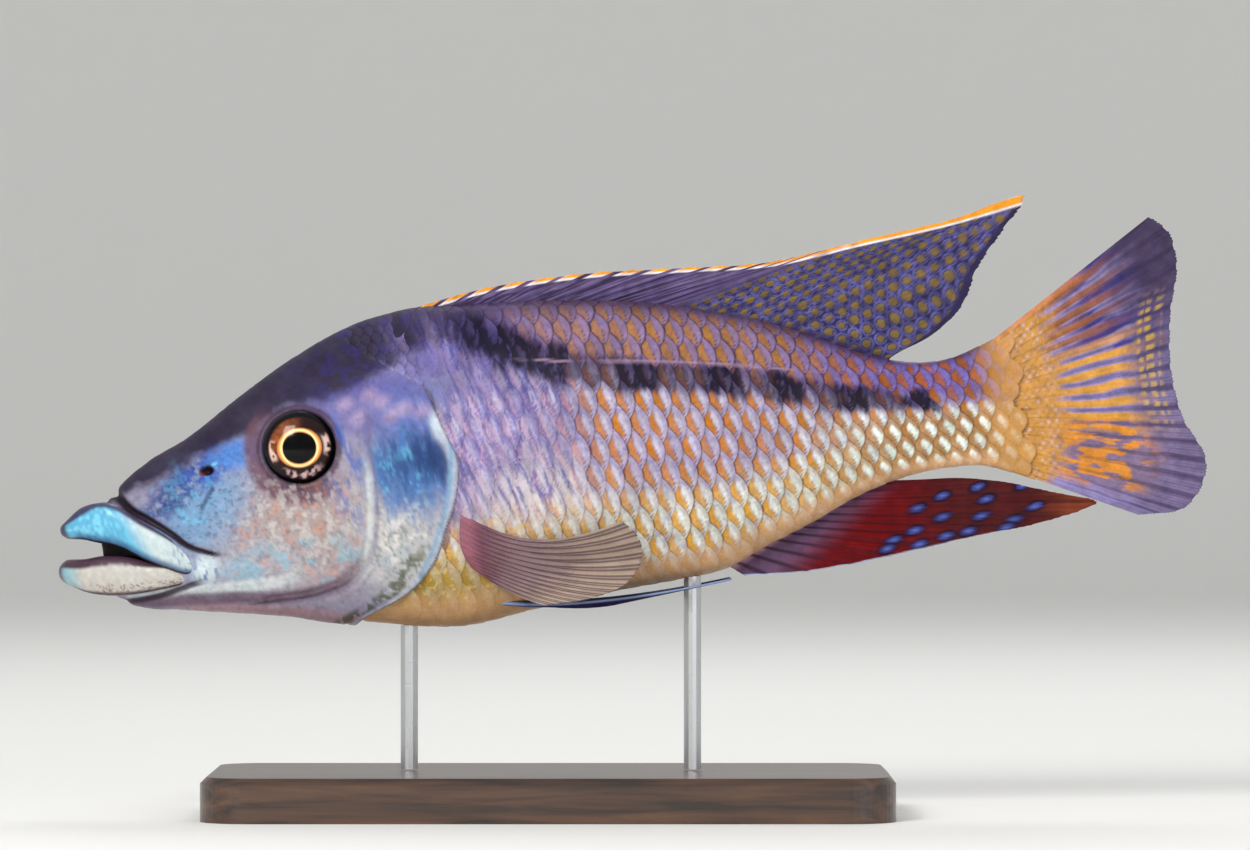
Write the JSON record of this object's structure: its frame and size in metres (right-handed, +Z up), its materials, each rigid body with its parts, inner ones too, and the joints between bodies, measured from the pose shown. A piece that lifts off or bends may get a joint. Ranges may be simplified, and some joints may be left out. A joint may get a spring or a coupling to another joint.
{
  "type": "oblique-striped malawi cichlid display model",
  "caption": "Life-size still model of a thick-lipped, oblique-striped cichlid, swimming nose down on a flat base with two rods.",
  "frame": {"origin": "centre of the display base's underside", "axes": "+Z up, +X from the fish's snout towards its tail, +Y towards the fish's right side"},
  "size_m": [0.2084, 0.062, 0.1124],
  "materials": {
    "head_skin": "wet-look painted skin, dark purple-grey nape, sky-blue snout and cheek",
    "gill_cover": "wet-look painted skin, teal above and pale cream below",
    "lips": "smooth cyan-white lips with dark rims",
    "eye": "polished, black pupil with a thin gold ring in a dark bronze iris",
    "body_scales": "satin scales in lilac, gold and cream with an oblique row of dark blotches",
    "dorsal_fin": "translucent purple-grey with olive-yellow spots and an orange and white edge",
    "anal_fin": "translucent deep red with blue spots",
    "caudal_fin": "translucent, orange-yellow and lavender streaks",
    "paired_fins": "translucent mauve-brown with dark ray lines",
    "stand_base": "dark stained hardwood, satin varnish",
    "stand_rods": "fine brushed"
  },
  "bodies": {
    "root": {"head": "head_skin", "gill_cover_left": "gill_cover", "gill_cover_right": "gill_cover", "upper_jaw": "lips", "lower_jaw": "lips", "eye_left": "eye", "eye_right": "eye", "trunk": "body_scales", "tail_stalk": "body_scales", "dorsal_fin": "dorsal_fin", "anal_fin": "anal_fin", "caudal_fin": "caudal_fin", "pectoral_fin_left": "paired_fins", "pectoral_fin_right": "paired_fins", "pelvic_fin_left": "paired_fins", "pelvic_fin_right": "paired_fins", "stand_base": "stand_base", "stand_rod_front": "stand_rods", "stand_rod_rear": "stand_rods"}
  },
  "joints": []
}
